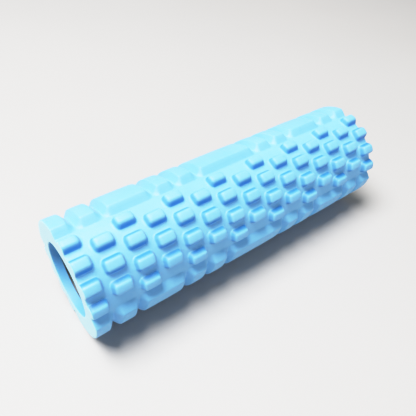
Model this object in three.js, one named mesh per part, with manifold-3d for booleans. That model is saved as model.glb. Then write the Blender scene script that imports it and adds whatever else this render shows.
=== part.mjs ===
// A hollow massage foam roller, 300 mm long and 95 mm across.
// It is two separate pieces: a moulded foam sleeve with a raised massage pattern, and the stiff
// tube glued inside its bore. Units are millimetres, +Z is up, and the roller lies on z = 0 with
// its axis along X and its middle at x = 0.
//
// Going round the sleeve there are two equal halves. Each half has one nub zone (seven rows of
// small nubs, staggered like bricks) and one block zone (a row of long smooth blocks that wrap
// round the side). Angles round the axis are measured from the front (-Y) towards the top (+Z).

import * as THREE from 'three';
import { ConvexGeometry } from 'three/addons/geometries/ConvexGeometry.js';
import { mergeVertices } from 'three/addons/utils/BufferGeometryUtils.js';
import Module from 'manifold-3d';

// Overall sizes
const LENGTH = 300;
const OUTER_RADIUS = 47.5;
const RELIEF_DEPTH = 5.7; // how far the nubs and blocks stand above the plain foam
const BASE_RADIUS = OUTER_RADIUS - RELIEF_DEPTH;
const BORE_RADIUS = 30;

// Stiff tube inside the bore
const GLUE_GAP = 0.35;
const CORE_WALL = 2.5;
const CORE_RECESS = 6.5; // how far each end of the tube lies inside the foam

// Massage pattern, along the axis
const COLUMNS = 15;
const END_TO_FIRST_COLUMN = 5.8;
const COLUMN_PITCH = (LENGTH - 2 * END_TO_FIRST_COLUMN) / (COLUMNS - 1);
const NUB_HALF_LENGTH = 6.75;
const BLOCK_GAP = 7.7; // between the shoulders of two blocks
const END_OVERRUN = 6; // how far the end blocks run past the ends before they are cut flush
const BLOCK_LENGTHS = [1, 1, 2, 1, 1, 3, 1, 1, 2, 1, 1]; // in columns, from one end to the other

// Massage pattern, round the axis, in degrees
const HALVES = 2;
const ROWS = 7;
const ROW_STEP = 11.2;
const NUB_HALF_ANGLE = 5.1;
const BLOCK_HALF_ANGLE = 39.5;

// Shape of one raised pad, in millimetres. Its flanks spread from the shoulder to the plain foam.
const EDGE_CHAMFER = 1.2;
const NUB_FLANK = { around: 2.5, along: 1.7 };
const BLOCK_FLANK = { around: 4, along: 3.3 };
const ROOT_DEPTH = 1.2; // how far a pad reaches into the foam below it
const BLOCK_CORNER = 4;

// Facets
const ROUND_SEGMENTS = 30;
const BORE_SEGMENTS = 40;
const BLOCK_STATIONS = 7; // places across a block's rounded top, between its two side edges

const { degToRad, radToDeg } = THREE.MathUtils;

// The roller rests on the edge of a block row and the edge of the nub row next to it, so the
// line half way between those two edges points straight down.
const chamferAngle = radToDeg(EDGE_CHAMFER / OUTER_RADIUS);
const lastRowAngle = ((ROWS - 1) / 2) * ROW_STEP;
const nubEdgeAngle = lastRowAngle + NUB_HALF_ANGLE - chamferAngle;
const blockEdgeAngle = 180 / HALVES - BLOCK_HALF_ANGLE + chamferAngle;
const restAngle = (nubEdgeAngle + blockEdgeAngle) / 2;
const FRONT_NUB_ZONE_ANGLE = 90 - restAngle;
const AXIS_HEIGHT = OUTER_RADIUS * Math.cos(degToRad((blockEdgeAngle - nubEdgeAngle) / 2));

const wasm = await Module();
wasm.setup();

function toSolid(geometry) {
  geometry.deleteAttribute('normal');
  geometry.deleteAttribute('uv');
  const merged = mergeVertices(geometry, 1e-5);
  const mesh = new wasm.Mesh({
    numProp: 3,
    vertProperties: new Float32Array(merged.attributes.position.array),
    triVerts: new Uint32Array(merged.index.array),
  });
  return new wasm.Manifold(mesh);
}

function toGeometry(solid) {
  const mesh = solid.getMesh();
  const geometry = new THREE.BufferGeometry();
  geometry.setAttribute('position', new THREE.BufferAttribute(mesh.vertProperties, 3));
  geometry.setIndex(new THREE.BufferAttribute(mesh.triVerts, 1));
  geometry.computeVertexNormals();
  return geometry;
}

// A point on a cylinder round the X axis.
function onCylinder(radius, degrees, x) {
  const angle = degToRad(degrees);
  return new THREE.Vector3(x, -radius * Math.cos(angle), radius * Math.sin(angle));
}

// A plain tube round the X axis.
function tube(outerRadius, innerRadius, length, segments) {
  const half = length / 2;
  const profile = [
    new THREE.Vector2(innerRadius, -half),
    new THREE.Vector2(outerRadius, -half),
    new THREE.Vector2(outerRadius, half),
    new THREE.Vector2(innerRadius, half),
    new THREE.Vector2(innerRadius, -half),
  ];
  return new THREE.LatheGeometry(profile, segments).rotateZ(-Math.PI / 2);
}

// A round bar along the X axis.
function bar(radius, length, segments) {
  return new THREE.CylinderGeometry(radius, radius, length, segments).rotateZ(-Math.PI / 2);
}

// One raised pad: three outlines stacked outwards. The lowest lies inside the foam, the next is
// the shoulder and the last is the top, inset by the edge chamfer. A pad with stations across it
// follows the roller's curve and has its corners cut.
function raisedPad({ x, angle, halfLength, halfAngle, flank, corner, stations }) {
  const flankHeight = RELIEF_DEPTH - EDGE_CHAMFER;
  const rootFactor = (flankHeight + ROOT_DEPTH) / flankHeight;
  const outlines = [
    {
      radius: BASE_RADIUS - ROOT_DEPTH,
      around: flank.around * rootFactor,
      along: flank.along * rootFactor,
    },
    { radius: OUTER_RADIUS - EDGE_CHAMFER, around: 0, along: 0 },
    { radius: OUTER_RADIUS, around: -EDGE_CHAMFER, along: -EDGE_CHAMFER },
  ];
  const points = [];
  for (const { radius, around, along } of outlines) {
    const edge = halfAngle + radToDeg(around / radius);
    const inner = edge - radToDeg(corner / radius);
    const reach = halfLength + along;
    for (const side of [-1, 1]) {
      points.push(onCylinder(radius, angle + side * edge, x - reach + corner));
      points.push(onCylinder(radius, angle + side * edge, x + reach - corner));
    }
    for (let station = 0; station < stations; station += 1) {
      const turn = angle + inner * ((2 * station) / (stations - 1) - 1);
      points.push(onCylinder(radius, turn, x - reach));
      points.push(onCylinder(radius, turn, x + reach));
    }
  }
  return new ConvexGeometry(points);
}

function columnX(column) {
  return (column - (COLUMNS - 1) / 2) * COLUMN_PITCH;
}

// Nubs stand on every second column, and each row is shifted by one column from the last.
function nubZone(zoneAngle) {
  const pads = [];
  for (let row = 0; row < ROWS; row += 1) {
    const angle = zoneAngle + (row - (ROWS - 1) / 2) * ROW_STEP;
    for (let column = row % 2; column < COLUMNS; column += 2) {
      pads.push(raisedPad({
        x: columnX(column),
        angle,
        halfLength: NUB_HALF_LENGTH,
        halfAngle: NUB_HALF_ANGLE,
        flank: NUB_FLANK,
        corner: 0,
        stations: 0,
      }));
    }
  }
  return pads;
}

// Blocks one, two or three columns long, end to end along the roller.
function blockZone(zoneAngle) {
  const pads = [];
  const pastEnd = LENGTH / 2 + END_OVERRUN;
  let start = -pastEnd;
  let columnsDone = 0;
  for (const columns of BLOCK_LENGTHS) {
    columnsDone += columns;
    const gap = columnX(columnsDone - 0.5);
    const end = columnsDone < COLUMNS ? gap - BLOCK_GAP / 2 : pastEnd;
    pads.push(raisedPad({
      x: (start + end) / 2,
      angle: zoneAngle,
      halfLength: (end - start) / 2,
      halfAngle: BLOCK_HALF_ANGLE,
      flank: BLOCK_FLANK,
      corner: BLOCK_CORNER,
      stations: BLOCK_STATIONS,
    }));
    start = gap + BLOCK_GAP / 2;
  }
  return pads;
}

function foamSleeve() {
  const pads = [];
  for (let half = 0; half < HALVES; half += 1) {
    const zoneAngle = FRONT_NUB_ZONE_ANGLE + (half * 360) / HALVES;
    pads.push(...nubZone(zoneAngle));
    pads.push(...blockZone(zoneAngle + 180 / HALVES));
  }
  let solid = toSolid(bar(BASE_RADIUS, LENGTH, ROUND_SEGMENTS));
  for (const pad of pads) {
    solid = solid.add(toSolid(pad));
  }
  // The pads on the end columns run past the ends, and are cut flush with them.
  solid = solid.intersect(toSolid(bar(OUTER_RADIUS + 5, LENGTH, ROUND_SEGMENTS)));
  return solid.subtract(toSolid(bar(BORE_RADIUS, LENGTH + 20, BORE_SEGMENTS)));
}

function coreTube() {
  const outerRadius = BORE_RADIUS - GLUE_GAP;
  return tube(outerRadius, outerRadius - CORE_WALL, LENGTH - 2 * CORE_RECESS, BORE_SEGMENTS);
}

const foam = new THREE.MeshStandardMaterial({ color: 0x62bbe4, roughness: 0.75, metalness: 0 });
const darkPlastic = new THREE.MeshStandardMaterial({ color: 0x20292c, roughness: 0.5, metalness: 0 });

const sleeve = new THREE.Mesh(toGeometry(foamSleeve()), foam);
sleeve.name = 'foam_sleeve';

const core = new THREE.Mesh(coreTube(), darkPlastic);
core.name = 'core_tube';

const roller = new THREE.Group();
roller.position.z = AXIS_HEIGHT;
roller.add(sleeve, core);

export default roller;
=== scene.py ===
"""A hollow massage foam roller, lying on a pale floor.

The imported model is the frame. This script gives the foam sleeve its fine moulded surface and its
foam material, gives the inner tube its rounded, extruded shape, and sets the floor, the lights
and the camera. Lengths in the code are metres unless a name ends in _MM, and angles go round the
roller's axis from the front (-Y) towards the top (+Z), in degrees.
"""

import math
from collections import namedtuple

import bpy
import numpy as np
from mathutils import Matrix, Vector


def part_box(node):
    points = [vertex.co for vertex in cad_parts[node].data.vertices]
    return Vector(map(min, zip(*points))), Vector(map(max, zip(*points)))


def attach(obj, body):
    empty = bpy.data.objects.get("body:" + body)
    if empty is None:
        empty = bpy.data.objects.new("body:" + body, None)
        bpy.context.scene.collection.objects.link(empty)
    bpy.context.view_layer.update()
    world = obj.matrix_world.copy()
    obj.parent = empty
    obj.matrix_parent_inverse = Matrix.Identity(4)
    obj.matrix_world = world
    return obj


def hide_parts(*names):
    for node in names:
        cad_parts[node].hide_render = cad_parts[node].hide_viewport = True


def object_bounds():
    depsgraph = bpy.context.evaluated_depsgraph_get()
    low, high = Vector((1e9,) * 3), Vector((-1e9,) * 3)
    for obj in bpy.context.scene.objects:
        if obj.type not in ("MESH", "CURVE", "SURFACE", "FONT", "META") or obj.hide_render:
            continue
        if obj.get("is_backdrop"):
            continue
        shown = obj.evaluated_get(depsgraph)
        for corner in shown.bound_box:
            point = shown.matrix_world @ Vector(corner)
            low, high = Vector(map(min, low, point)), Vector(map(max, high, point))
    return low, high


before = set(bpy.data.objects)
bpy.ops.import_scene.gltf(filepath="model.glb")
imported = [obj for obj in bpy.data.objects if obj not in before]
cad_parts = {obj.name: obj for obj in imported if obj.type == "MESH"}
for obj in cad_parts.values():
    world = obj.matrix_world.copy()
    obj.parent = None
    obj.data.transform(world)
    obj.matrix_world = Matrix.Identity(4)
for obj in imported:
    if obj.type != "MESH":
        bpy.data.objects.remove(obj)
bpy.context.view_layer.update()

MM = 0.001

# ---------------------------------------------------------------- driving sizes
SLEEVE_LOW, SLEEVE_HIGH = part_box("foam_sleeve")
CORE_LOW, CORE_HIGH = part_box("core_tube")
LENGTH_MM = (SLEEVE_HIGH.x - SLEEVE_LOW.x) / MM
AXIS_Z = (SLEEVE_LOW.z + SLEEVE_HIGH.z) / 2
OUTER_MM = 47.5
RELIEF_MM = 5.7
BASE_MM = OUTER_MM - RELIEF_MM
BORE_MM = 30.0

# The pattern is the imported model's. Its pads are a little smaller here, and more rounded.
# Along the axis:
COLUMNS = 15
FIRST_COLUMN_MM = 5.8
PITCH_MM = (LENGTH_MM - 2 * FIRST_COLUMN_MM) / (COLUMNS - 1)
NUB_HALF_LENGTH_MM = 6.3
BLOCK_GAP_MM = 9.5
END_OVERRUN_MM = 6.0  # how far the end blocks run past the ends before they are cut flush
BLOCK_LENGTHS = (1, 1, 2, 1, 1, 3, 1, 1, 2, 1, 1)

# Round the axis:
HALVES = 2
ROWS = 7
ROW_STEP = 11.2
FRONT_NUB_ANGLE = 45.4

# How a pad's flanks fall away: their spread between the shoulder and the plain foam, along the
# axis and round it, the half-width of its rounded shoulder, how softly two flanks meet at a
# corner, and how much lower the edges of its top are than the middle.
PadShape = namedtuple("PadShape", "half_angle along_mm around_mm shoulder_mm corner crown_mm")
NUB = PadShape(4.35, 2.1, 3.1, shoulder_mm=0.85, corner=0.6, crown_mm=0.5)
BLOCK = PadShape(37.7, 4.2, 5.8, shoulder_mm=0.5, corner=0.25, crown_mm=0.3)
FOOT_BEND_MM = 0.4  # half-width of the rounded foot of every pad
END_ROUND_MM = 0.9
BORE_ROUND_MM = 0.7

CORE_WALL_MM = 2.5
CORE_ROUND_MM = 0.5

# How finely the surfaces are divided. Places on a bend are in its half-widths, from its middle.
SHOULDER_LINES = (-1.1, -0.55, 0, 0.55, 1.1)
FOOT_LINES = (-1.1, 0, 1.1)
NUB_TOP_LINE_MM = 3.2  # one more line on each side of a nub's middle, along the axis
NUB_TOP_LINE_DEGREES = 2.5  # and one round it
BLOCK_PARTS_PER_COLUMN = 3
BLOCK_PARTS_AROUND = 16  # from a block's middle to its shoulder
CLOSEST_MM = 0.2
CLOSEST_DEGREES = 0.28
ZONE_MARGIN_DEGREES = 0.4  # how far a zone's grid goes past its outermost foot
EDGE_STEPS = 5  # rings over each rounded edge at an end
FACE_RING_SHARES = (0.15, 0.4, 0.7, 0.9)  # across the end face, from its outer edge to the bore
BORE_RING_DEPTHS_MM = (2, 5, 9, 30, 80)
CORE_EDGE_STEPS = 4
CORE_STATIONS = 9  # places along the tube, between its rounded ends
CORE_STEP_DEGREES = 2.5

# ---------------------------------------------------------------- colours, lights and camera
# The foam's colours: the moulded skin, a painted shade on the steep flanks of the pads and on the
# wall of the bore, and the cut ends, paler partly as cut foam is and partly as a painted
# highlight.
FOAM_SKIN = ((0.115, 0.40, 0.80, 1), (0.135, 0.44, 0.84, 1))
FLANK_PAINTED_SHADE = (0.0, 0.135, 0.50, 1)
FOAM_CUT_WITH_HIGHLIGHT = ((0.21, 0.64, 0.90, 1), (0.27, 0.72, 0.95, 1))
CUT_STARTS_MM = 0.5  # the cut colour comes in between these two depths from an end
CUT_FULL_MM = 0.1

# Steepness is 0 where the surface faces straight out from the axis, and 1 on an upright wall. The
# steeper the surface, the more painted shade it takes.
FLANK_SHADE_STARTS = 0.70  # where a flank starts to take the flank colour
FLANK_SHADE_FULL = 0.90
FLANK_SHADE_ALONG_SHARE = 0.86  # how much a slope along the axis counts, against one round it
BORE_SHADE_STEEPNESS = 0.76  # what the wall of the bore counts as

# How many of each feature of the foam there are in a metre.
DRIFTS_PER_METRE = 28.0
WAVES_PER_METRE = 110.0
GRAINS_PER_METRE = 700.0
CELLS_PER_METRE = 1500.0

CORE_TINT = ((0.010, 0.016, 0.018, 1), (0.020, 0.028, 0.030, 1))
FLOOR_TINT = ((0.36, 0.35, 0.34, 1), (0.40, 0.39, 0.38, 1))
FLOOR_HALF = 3.0

# Pairs of a brightness in the scene and what it is shown as.
TONE_CURVE = ((0.1, 0.1), (0.25, 0.25), (0.5, 0.48), (0.75, 0.67), (1.0, 0.79), (1.7, 0.93))
TONE_WHITE = 3.5  # the brightness at the far end of the tone curve
TONE_TOP = 0.995  # what that brightness is shown as
COMBINED_CURVE = 3  # the curve that acts on red, green and blue alike

LIGHT_TARGET = (0, 0, 0.05)
SKY_STRENGTH = 0.27

CAMERA_PLACE = (-0.1919, -0.2064, 0.2990)
CAMERA_TARGET = (0.0156, 0.0430, 0.0)
CAMERA_ROLL = 3.91
CAMERA_LENS = 36.37

MM_PER_DEGREE = OUTER_MM * math.pi / 180
Pad = namedtuple("Pad", "x angle half_length shape")


# ---------------------------------------------------------------- the relief
def bend(distance, half_width):
    """max(distance, 0) with its corner rounded over half_width on each side."""
    curve = (distance + half_width) ** 2 / (4 * half_width)
    return np.where(distance < -half_width, 0, np.where(distance > half_width, distance, curve))


def pad_relief(x, angle, pad):
    """How high one raised pad stands at each point, from 0 on the plain foam to 1 on its top."""
    shape = pad.shape
    flank = min(shape.along_mm, shape.around_mm)
    turn = (angle - pad.angle + 180) % 360 - 180
    along = (np.abs(x - pad.x) - pad.half_length) / shape.along_mm
    around = (np.abs(turn) - shape.half_angle) * MM_PER_DEGREE / shape.around_mm
    u, v = along + shape.corner, around + shape.corner
    outside = np.hypot(np.maximum(u, 0), np.maximum(v, 0))
    distance = outside + np.minimum(np.maximum(u, v), 0) - shape.corner
    shoulder = bend(distance, shape.shoulder_mm / flank)
    foot = bend(distance - 1, FOOT_BEND_MM / flank)
    dome_along = np.clip((x - pad.x) / pad.half_length, -1, 1) ** 2
    dome_around = np.clip(turn / shape.half_angle, -1, 1) ** 2
    crown = 1 - shape.crown_mm / RELIEF_MM * (dome_along + dome_around) / 2
    return (1 - shoulder + foot) * crown


def column_x(column):
    return (column - (COLUMNS - 1) / 2) * PITCH_MM


def pads():
    """Every nub and block on the sleeve."""
    for half in range(HALVES):
        zone = FRONT_NUB_ANGLE + half * 360 / HALVES
        for row in range(ROWS):
            angle = zone + (row - (ROWS - 1) / 2) * ROW_STEP
            for column in range(row % 2, COLUMNS, 2):
                yield Pad(column_x(column), angle, NUB_HALF_LENGTH_MM, NUB)
        past_end = LENGTH_MM / 2 + END_OVERRUN_MM
        start = -past_end
        columns_done = 0
        for columns in BLOCK_LENGTHS:
            columns_done += columns
            gap = column_x(columns_done - 0.5)
            end = gap - BLOCK_GAP_MM / 2 if columns_done < COLUMNS else past_end
            yield Pad((start + end) / 2, zone + 180 / HALVES, (end - start) / 2, BLOCK)
            start = gap + BLOCK_GAP_MM / 2


def relief_map(xs, angles):
    """The relief over the whole sleeve, as a table of xs by angles."""
    table = np.zeros((len(xs), len(angles)))
    for pad in pads():
        reach_x = pad.half_length + pad.shape.along_mm + 2 * FOOT_BEND_MM
        reach_mm = pad.shape.around_mm + 2 * FOOT_BEND_MM
        reach_angle = pad.shape.half_angle + reach_mm / MM_PER_DEGREE
        rows = np.abs(xs - pad.x) <= reach_x
        cols = np.abs((angles - pad.angle + 180) % 360 - 180) <= reach_angle
        x, angle = np.meshgrid(xs[rows], angles[cols], indexing="ij")
        part = table[np.ix_(rows, cols)]
        # Where two flanks meet they flow together.
        table[np.ix_(rows, cols)] = 1 - (1 - part) * (1 - pad_relief(x, angle, pad))
    return table


# ---------------------------------------------------------------- grid lines
def mirrored(offsets):
    """The offsets and their negatives, in order."""
    return sorted({sign * offset for offset in offsets for sign in (-1, 1)})


def flank_lines(shoulder, flank, shape, unit=1.0):
    """Lines over one flank, from just inside its shoulder to just past its foot. Places are in
    a unit that is so many millimetres long."""
    foot = shoulder + flank
    over_shoulder = [shoulder + shape.shoulder_mm / unit * place for place in SHOULDER_LINES]
    over_foot = [foot + FOOT_BEND_MM / unit * place for place in FOOT_LINES]
    middle = (over_shoulder[-1] + over_foot[0]) / 2
    return over_shoulder + over_foot + [middle]


def merged(lines, low, high, closest):
    """The lines between low and high, with those that nearly coincide thinned out."""
    kept = [low]
    for line in sorted(lines):
        if kept[-1] + closest < line < high - closest:
            kept.append(line)
    return np.array(kept + [high])


def lines_along_nubs(low, high):
    top = [0, NUB_TOP_LINE_MM]
    flank = flank_lines(NUB_HALF_LENGTH_MM, NUB.along_mm, NUB)
    offsets = mirrored(top + flank + [PITCH_MM / 2])
    lines = [column_x(column) + offset for column in range(COLUMNS) for offset in offsets]
    return merged(lines, low, high, CLOSEST_MM)


def lines_along_blocks(low, high):
    half_gap = BLOCK_GAP_MM / 2
    flank = flank_lines(0, BLOCK.along_mm, BLOCK)
    offsets = mirrored([0] + [half_gap - line for line in flank])
    lines = []
    column = 0
    for columns in BLOCK_LENGTHS:
        gap = column_x(column - 0.5)
        length = columns * PITCH_MM
        parts = BLOCK_PARTS_PER_COLUMN * columns
        lines += [gap + offset for offset in offsets]
        lines += [gap + length * part / parts for part in range(1, parts)]
        column += columns
    return merged(lines, low, high, CLOSEST_MM)


def lines_around_nubs():
    """Angles from the middle of a nub zone."""
    flank = NUB.around_mm / MM_PER_DEGREE
    top = [0, NUB_TOP_LINE_DEGREES]
    offsets = mirrored(top + flank_lines(NUB.half_angle, flank, NUB, MM_PER_DEGREE))
    middle_row = (ROWS - 1) / 2
    lines = [(row - middle_row) * ROW_STEP + offset for row in range(ROWS) for offset in offsets]
    edge = middle_row * ROW_STEP + NUB.half_angle + flank + ZONE_MARGIN_DEGREES
    return merged(lines, -edge, edge, CLOSEST_DEGREES)


def lines_around_blocks():
    """Angles from the middle of a block zone."""
    flank = BLOCK.around_mm / MM_PER_DEGREE
    top = [BLOCK.half_angle * part / BLOCK_PARTS_AROUND for part in range(BLOCK_PARTS_AROUND)]
    lines = mirrored(top + flank_lines(BLOCK.half_angle, flank, BLOCK, MM_PER_DEGREE))
    edge = BLOCK.half_angle + flank + ZONE_MARGIN_DEGREES
    return merged(lines, -edge, edge, CLOSEST_DEGREES)


# ---------------------------------------------------------------- meshes
def on_roller(x, radius, angle):
    """The point at a place along the axis, a radius and an angle round it, in metres."""
    turn = np.radians(angle)
    y = -radius * np.cos(turn)
    z = radius * np.sin(turn)
    return np.stack(np.broadcast_arrays(x * MM, y * MM, z * MM + AXIS_Z), axis=-1)


def quads(low_row, high_row):
    """Faces between two rows of point numbers that go the same way."""
    return list(zip(low_row[:-1], high_row[:-1], high_row[1:], low_row[1:]))


def zipper(first, first_x, second, second_x):
    """Triangles between two lines of points that start and end together but are spaced apart."""
    faces = []
    i = j = 0
    while i < len(first) - 1 or j < len(second) - 1:
        step_first = j == len(second) - 1 or (
            i < len(first) - 1 and first_x[i + 1] <= second_x[j + 1]
        )
        if step_first:
            faces.append((first[i], first[i + 1], second[j]))
            i += 1
        else:
            faces.append((first[i], second[j + 1], second[j]))
            j += 1
    return faces


def new_piece(name, points, faces):
    """A new mesh object with smooth shading."""
    mesh = bpy.data.meshes.new(name)
    mesh.from_pydata([tuple(p) for p in points], [], faces)
    mesh.polygons.foreach_set("use_smooth", np.ones(len(faces), bool))
    mesh.update()
    piece = bpy.data.objects.new(name, mesh)
    bpy.context.scene.collection.objects.link(piece)
    return piece


def end_rings(edge_radius, side):
    """Rings from the outer edge of one end, over its flat face, and well into the bore."""
    half = LENGTH_MM / 2
    face_in = BORE_MM + BORE_ROUND_MM
    face_out = edge_radius - END_ROUND_MM
    all_round = np.ones_like(edge_radius)
    turns = np.linspace(0, math.pi / 2, EDGE_STEPS)
    rings = []
    for turn in turns[1:]:
        inwards = END_ROUND_MM * (1 - math.sin(turn))
        rings.append((half - inwards, edge_radius - END_ROUND_MM * (1 - math.cos(turn))))
    for share in FACE_RING_SHARES:
        rings.append((half, face_out * (1 - share) + face_in * share))
    for turn in turns:
        inwards = BORE_ROUND_MM * (1 - math.cos(turn))
        rings.append((half - inwards, all_round * (face_in - BORE_ROUND_MM * math.sin(turn))))
    for depth in BORE_RING_DEPTHS_MM:
        rings.append((half - depth, all_round * BORE_MM))
    return [(side * x, radius) for x, radius in rings]


def sleeve_piece():
    """The whole foam sleeve as one closed surface."""
    half = LENGTH_MM / 2
    flat = half - END_ROUND_MM
    along = (lines_along_nubs(-flat, flat), lines_along_blocks(-flat, flat))
    around = (lines_around_nubs(), lines_around_blocks())

    points = []
    faces = []
    zones = []
    all_angles = []
    for quarter in range(2 * HALVES):
        kind = quarter % 2
        xs = along[kind]
        angles = FRONT_NUB_ANGLE + quarter * 180 / HALVES + around[kind]
        radius = BASE_MM + RELIEF_MM * relief_map(xs, angles)
        numbers = len(points) + np.arange(radius.size).reshape(radius.shape)
        points.extend(on_roller(xs[:, None], radius, angles[None, :]).reshape(-1, 3))
        for low, high in zip(numbers[:-1], numbers[1:]):
            faces.extend(quads(low, high))
        zones.append((xs, numbers))
        all_angles.extend(angles)

    # The plain strips between the zones, where the two grids meet.
    for (xs, numbers), (next_xs, next_numbers) in zip(zones, zones[1:] + zones[:1]):
        faces.extend(zipper(numbers[:, -1], xs, next_numbers[:, 0], next_xs))

    # The ends and the bore.
    all_angles = np.array(all_angles)
    edge_radius = BASE_MM + RELIEF_MM * relief_map(np.array([-half, half]), all_angles)
    bore_ends = []
    for side, zone_row in ((-1, 0), (1, -1)):
        row = np.concatenate([numbers[zone_row] for _, numbers in zones])
        for x, radius in end_rings(edge_radius[(side + 1) // 2], side):
            next_row = len(points) + np.arange(len(all_angles))
            points.extend(on_roller(x, radius, all_angles))
            pair = (next_row, row) if side < 0 else (row, next_row)
            faces.extend(quads(*[np.append(r, r[0]) for r in pair]))
            row = next_row
        bore_ends.append(np.append(row, row[0]))
    faces.extend(quads(bore_ends[1], bore_ends[0]))
    return new_piece("foam_sleeve_moulded", points, faces)


def ring_piece(name, outline, angles):
    """A closed surface made by turning a closed outline of (x, radius) points round the axis."""
    points = []
    rows = []
    for x, radius in outline:
        rows.append(len(points) + np.append(np.arange(len(angles)), 0))
        points.extend(on_roller(x, radius, angles))
    faces = []
    for row, next_row in zip(rows, rows[1:] + rows[:1]):
        faces.extend(quads(row, next_row))
    return new_piece(name, points, faces)


def core_piece():
    """The stiff inner tube, with its cut ends lightly rounded."""
    half = (CORE_HIGH.x - CORE_LOW.x) / 2 / MM
    outer = (CORE_HIGH.z - CORE_LOW.z) / 2 / MM
    inner = outer - CORE_WALL_MM
    turns = np.linspace(0, math.pi / 2, CORE_EDGE_STEPS)
    rise = CORE_ROUND_MM * (1 - np.sin(turns))
    fall = CORE_ROUND_MM * (1 - np.cos(turns))
    end = list(zip(half - rise, outer - fall)) + list(zip(half - fall, inner + rise))
    spaced = np.linspace(-1, 1, CORE_STATIONS)[1:-1] * (half - CORE_ROUND_MM)
    outline = [(-x, r) for x, r in reversed(end)]
    outline += [(x, outer) for x in spaced]
    outline += end
    outline += [(-x, inner) for x in spaced]
    return ring_piece("core_tube_extruded", outline, np.arange(0, 360, CORE_STEP_DEGREES))


# ---------------------------------------------------------------- materials
# A mix node has sockets for every kind of value. These are the ones for colours.
MIX_FIRST, MIX_SECOND, MIX_RESULT = 6, 7, 2


def node_material(name, **finish):
    """A new node material with a finish, and short names for adding and joining its nodes."""
    material = bpy.data.materials.new(name)
    material.use_nodes = True
    tree = material.node_tree
    shader = tree.nodes["Principled BSDF"]
    for key, value in finish.items():
        shader.inputs[key].default_value = value

    def add(kind, **values):
        node = tree.nodes.new(kind)
        for key, value in values.items():
            if key in node.inputs:
                node.inputs[key].default_value = value
            else:
                setattr(node, key, value)
        return node

    return material, shader, add, tree.links.new


def colour_ramp(add, link, factor, colours, low=0.0, high=1.0):
    """A blend of two colours as a factor goes from low to high."""
    node = add("ShaderNodeValToRGB")
    for element, position, colour in zip(node.color_ramp.elements, (low, high), colours):
        element.position = position
        element.color = colour
    link(factor, node.inputs["Fac"])
    return node.outputs["Color"]


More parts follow.
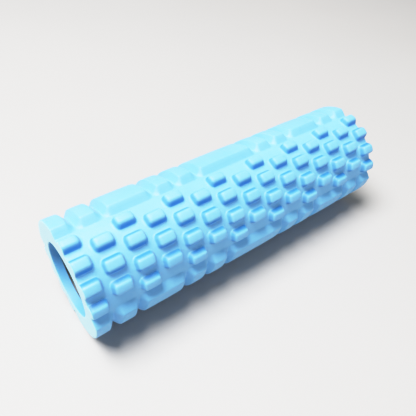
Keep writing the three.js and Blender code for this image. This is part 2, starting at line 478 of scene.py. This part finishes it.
def foam_material():
    """Closed-cell EVA foam: a fine moulded skin with a painted shade on the steep flanks of the
    pads and in the bore, and paler with an open grain where the ends are cut, partly as cut foam
    is and partly as a painted highlight."""
    material, shader, add, link = node_material(
        "eva_foam",
        **{
            "Specular IOR Level": 0.5,
            "Subsurface Weight": 0.15,
            "Subsurface Radius": (0.4, 0.8, 1.0),
            "Subsurface Scale": 3 * MM,
            "Sheen Weight": 0.12,
            "Sheen Roughness": 0.4,
        },
    )
    texture_coordinates = add("ShaderNodeTexCoord")
    where = texture_coordinates.outputs["Object"]

    def vector_step(operation, first, second):
        """One step of vector arithmetic. The second value is a link or a fixed vector."""
        node = add("ShaderNodeVectorMath", operation=operation)
        link(first, node.inputs[0])
        if isinstance(second, tuple):
            node.inputs[1].default_value = second
        else:
            link(second, node.inputs[1])
        return node

    def noise(per_metre, **values):
        """A noise texture fixed to the object."""
        node = add("ShaderNodeTexNoise", Scale=per_metre, **values)
        link(where, node.inputs["Vector"])
        return node.outputs["Fac"]

    def bump(height, strength, depth, below=None):
        """A bump of a height and depth, on top of the bump below it."""
        node = add("ShaderNodeBump", Strength=strength, Distance=depth)
        link(height, node.inputs["Height"])
        if below:
            link(below, node.inputs["Normal"])
        return node.outputs["Normal"]

    def share(value, low, high):
        """How far a value has gone from low to high, from 0 to 1."""
        node = add("ShaderNodeMapRange", **{"From Min": low, "From Max": high})
        link(value, node.inputs["Value"])
        return node.outputs["Result"]

    def blend(factor, first, second):
        """The first colour where the factor is 0, and the second where it is 1."""
        node = add("ShaderNodeMix", data_type="RGBA")
        link(factor, node.inputs[0])
        link(first, node.inputs[MIX_FIRST])
        link(second, node.inputs[MIX_SECOND])
        return node.outputs[MIX_RESULT]

    # Soft drifts of colour, as pigment mixes a little unevenly in the mould.
    drift = noise(DRIFTS_PER_METRE, Detail=3.0, Roughness=0.55)
    skin = colour_ramp(add, link, drift, FOAM_SKIN, low=0.3, high=0.7)

    # How steep a flank is: its slope round the roller, and most of its slope along it. The wall
    #     # of the bore counts as steep. Steep places are painted a deeper blue, a painted shade
    #     that
    #     # stands in for the shade that falls on the flanks and inside the bore.
    from_axis = vector_step("SUBTRACT", where, (0, 0, AXIS_Z))
    across = vector_step("MULTIPLY", from_axis.outputs[0], (0, 1, 1))
    outwards = add("ShaderNodeVectorMath", operation="NORMALIZE")
    link(across.outputs[0], outwards.inputs[0])
    sideways = vector_step("CROSS_PRODUCT", outwards.outputs[0], (1, 0, 0))
    normal = texture_coordinates.outputs["Normal"]
    slope_around = vector_step("DOT_PRODUCT", normal, sideways.outputs[0])
    slope_along = vector_step("DOT_PRODUCT", normal, (FLANK_SHADE_ALONG_SHARE, 0, 0))
    facing = vector_step("DOT_PRODUCT", normal, outwards.outputs[0])
    bore = add("ShaderNodeMapRange", **{"From Min": -1, "From Max": 0})
    bore.inputs["To Min"].default_value = BORE_SHADE_STEEPNESS
    bore.inputs["To Max"].default_value = 0
    link(facing.outputs["Value"], bore.inputs["Value"])
    slopes = add("ShaderNodeCombineXYZ")
    link(slope_around.outputs["Value"], slopes.inputs["X"])
    link(slope_along.outputs["Value"], slopes.inputs["Y"])
    link(bore.outputs["Result"], slopes.inputs["Z"])
    steepness = add("ShaderNodeVectorMath", operation="LENGTH")
    link(slopes.outputs[0], steepness.inputs[0])
    flank = share(steepness.outputs["Value"], FLANK_SHADE_STARTS, FLANK_SHADE_FULL)
    # The deep blue flank colour is a painted shade.
    flank_shade_colour = add("ShaderNodeRGB")
    flank_shade_colour.outputs[0].default_value = FLANK_PAINTED_SHADE
    moulded = blend(flank, skin, flank_shade_colour.outputs[0])

    # The skin: tiny closed cells, a fine grain, and a slower unevenness of the moulded surface.
    cells = add("ShaderNodeTexVoronoi", Scale=CELLS_PER_METRE)
    link(where, cells.inputs["Vector"])
    grain = noise(GRAINS_PER_METRE, Detail=4.0, Roughness=0.6)
    waves = noise(WAVES_PER_METRE, Detail=2.0, Roughness=0.5)
    pitted = bump(cells.outputs["Distance"], 0.18, 0.15 * MM)
    grained = bump(grain, 0.25, 0.2 * MM, below=pitted)
    link(bump(waves, 0.3, 0.4 * MM, below=grained), shader.inputs["Normal"])
    gloss = add("ShaderNodeMapRange", **{"To Min": 0.46, "To Max": 0.66})
    link(grain, gloss.inputs["Value"])
    link(gloss.outputs["Result"], shader.inputs["Roughness"])

    # The cut ends show the inside of the foam. They are paler partly because cut foam is, and
    # partly as a painted highlight on the end faces.
    cut = colour_ramp(add, link, cells.outputs["Distance"], FOAM_CUT_WITH_HIGHLIGHT, low=0.1, high=0.6)
    along = add("ShaderNodeSeparateXYZ")
    link(where, along.inputs["Vector"])
    from_middle = add("ShaderNodeMath", operation="ABSOLUTE")
    link(along.outputs["X"], from_middle.inputs[0])
    half = LENGTH_MM / 2
    cut_from, cut_to = (half - CUT_STARTS_MM) * MM, (half - CUT_FULL_MM) * MM
    at_end = share(from_middle.outputs[0], cut_from, cut_to)
    link(blend(at_end, moulded, cut), shader.inputs["Base Color"])
    return material


def core_material():
    """Dark extruded plastic with fine lines along its length."""
    material, shader, add, link = node_material("core_plastic")
    where = add("ShaderNodeTexCoord").outputs["Object"]
    # The noise is drawn out along the axis, which makes it into lines.
    stretch = add("ShaderNodeMapping", Scale=(6.0, 900.0, 900.0))
    link(where, stretch.inputs["Vector"])
    lines = add("ShaderNodeTexNoise", Scale=1.0, Detail=3.0)
    link(stretch.outputs["Vector"], lines.inputs["Vector"])
    speckle = add("ShaderNodeTexNoise", Scale=240.0, Detail=4.0)
    link(where, speckle.inputs["Vector"])
    tint = colour_ramp(add, link, speckle.outputs["Fac"], CORE_TINT)
    link(tint, shader.inputs["Base Color"])
    bumps = add("ShaderNodeBump", Strength=0.35, Distance=0.2 * MM)
    link(lines.outputs["Fac"], bumps.inputs["Height"])
    link(bumps.outputs["Normal"], shader.inputs["Normal"])
    gloss = add("ShaderNodeMapRange", **{"To Min": 0.38, "To Max": 0.55})
    link(speckle.outputs["Fac"], gloss.inputs["Value"])
    link(gloss.outputs["Result"], shader.inputs["Roughness"])
    return material


def floor_material():
    """Plain and pale, with a faint slow mottle."""
    material, shader, add, link = node_material("pale_floor", Roughness=0.7)
    where = add("ShaderNodeTexCoord").outputs["Object"]
    mottle = add("ShaderNodeTexNoise", Scale=3.0, Detail=2.0)
    link(where, mottle.inputs["Vector"])
    tint = colour_ramp(add, link, mottle.outputs["Fac"], FLOOR_TINT)
    link(tint, shader.inputs["Base Color"])
    return material


# ---------------------------------------------------------------- stage, lights, camera
def aimed(obj, place, target, roll=0.0):
    """Puts obj at place with its -Z pointing at target, turned by roll degrees about that line."""
    look = (Vector(target) - Vector(place)).to_track_quat("-Z", "Y").to_matrix().to_4x4()
    turn = Matrix.Rotation(math.radians(roll), 4, "Z")
    obj.matrix_world = Matrix.Translation(place) @ look @ turn


def floor_piece(height):
    """A wide flat floor at a height."""
    mesh = bpy.data.meshes.new("floor")
    signs = ((-1, -1), (1, -1), (1, 1), (-1, 1))
    corners = [(x * FLOOR_HALF, y * FLOOR_HALF, height) for x, y in signs]
    mesh.from_pydata(corners, [], [(0, 1, 2, 3)])
    floor = bpy.data.objects.new("floor", mesh)
    bpy.context.scene.collection.objects.link(floor)
    mesh.materials.append(floor_material())
    floor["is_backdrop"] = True


def soft_light(name, place, size, power):
    """A round soft light, aimed at the roller."""
    data = bpy.data.lights.new(name, "AREA")
    data.shape = "DISK"
    data.size = size
    data.energy = power
    light = bpy.data.objects.new(name, data)
    bpy.context.scene.collection.objects.link(light)
    aimed(light, place, LIGHT_TARGET)


def soft_highlights():
    """Presses very bright light together, so pale foam keeps its detail and doesn't burn out."""
    view = bpy.context.scene.view_settings
    view.view_transform = "Standard"
    view.use_curve_mapping = True
    mapping = view.curve_mapping
    mapping.white_level = (TONE_WHITE, TONE_WHITE, TONE_WHITE)
    tone = mapping.curves[COMBINED_CURVE]
    tone.points[-1].location = (1, TONE_TOP)
    for brightness, shown in TONE_CURVE:
        tone.points.new(brightness / TONE_WHITE, shown)
    mapping.update()


def sky(strength):
    """Plain white light from all round."""
    world = bpy.data.worlds.new("studio")
    world.use_nodes = True
    background = world.node_tree.nodes["Background"]
    background.inputs["Color"].default_value = (1, 1, 1, 1)
    background.inputs["Strength"].default_value = strength
    bpy.context.scene.world = world


def camera():
    """A camera above and beyond the left end, turned a little about its line of sight."""
    data = bpy.data.cameras.new("camera")
    data.lens = CAMERA_LENS
    data.sensor_width = 36
    data.clip_start = 10 * MM
    view = bpy.data.objects.new("camera", data)
    bpy.context.scene.collection.objects.link(view)
    aimed(view, CAMERA_PLACE, CAMERA_TARGET, CAMERA_ROLL)
    bpy.context.scene.camera = view


# ---------------------------------------------------------------- the object
sleeve = sleeve_piece()
sleeve.data.materials.append(foam_material())
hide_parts("foam_sleeve")
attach(sleeve, "root")

core = core_piece()
core.data.materials.append(core_material())
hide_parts("core_tube")
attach(core, "root")

floor_piece(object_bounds()[0].z)
soft_light("key", place=(-0.55, 0.25, 1.8), size=1.1, power=118)
soft_light("fill", place=(0.1, -1.1, 0.3), size=1.0, power=3)
sky(SKY_STRENGTH)
soft_highlights()
camera()
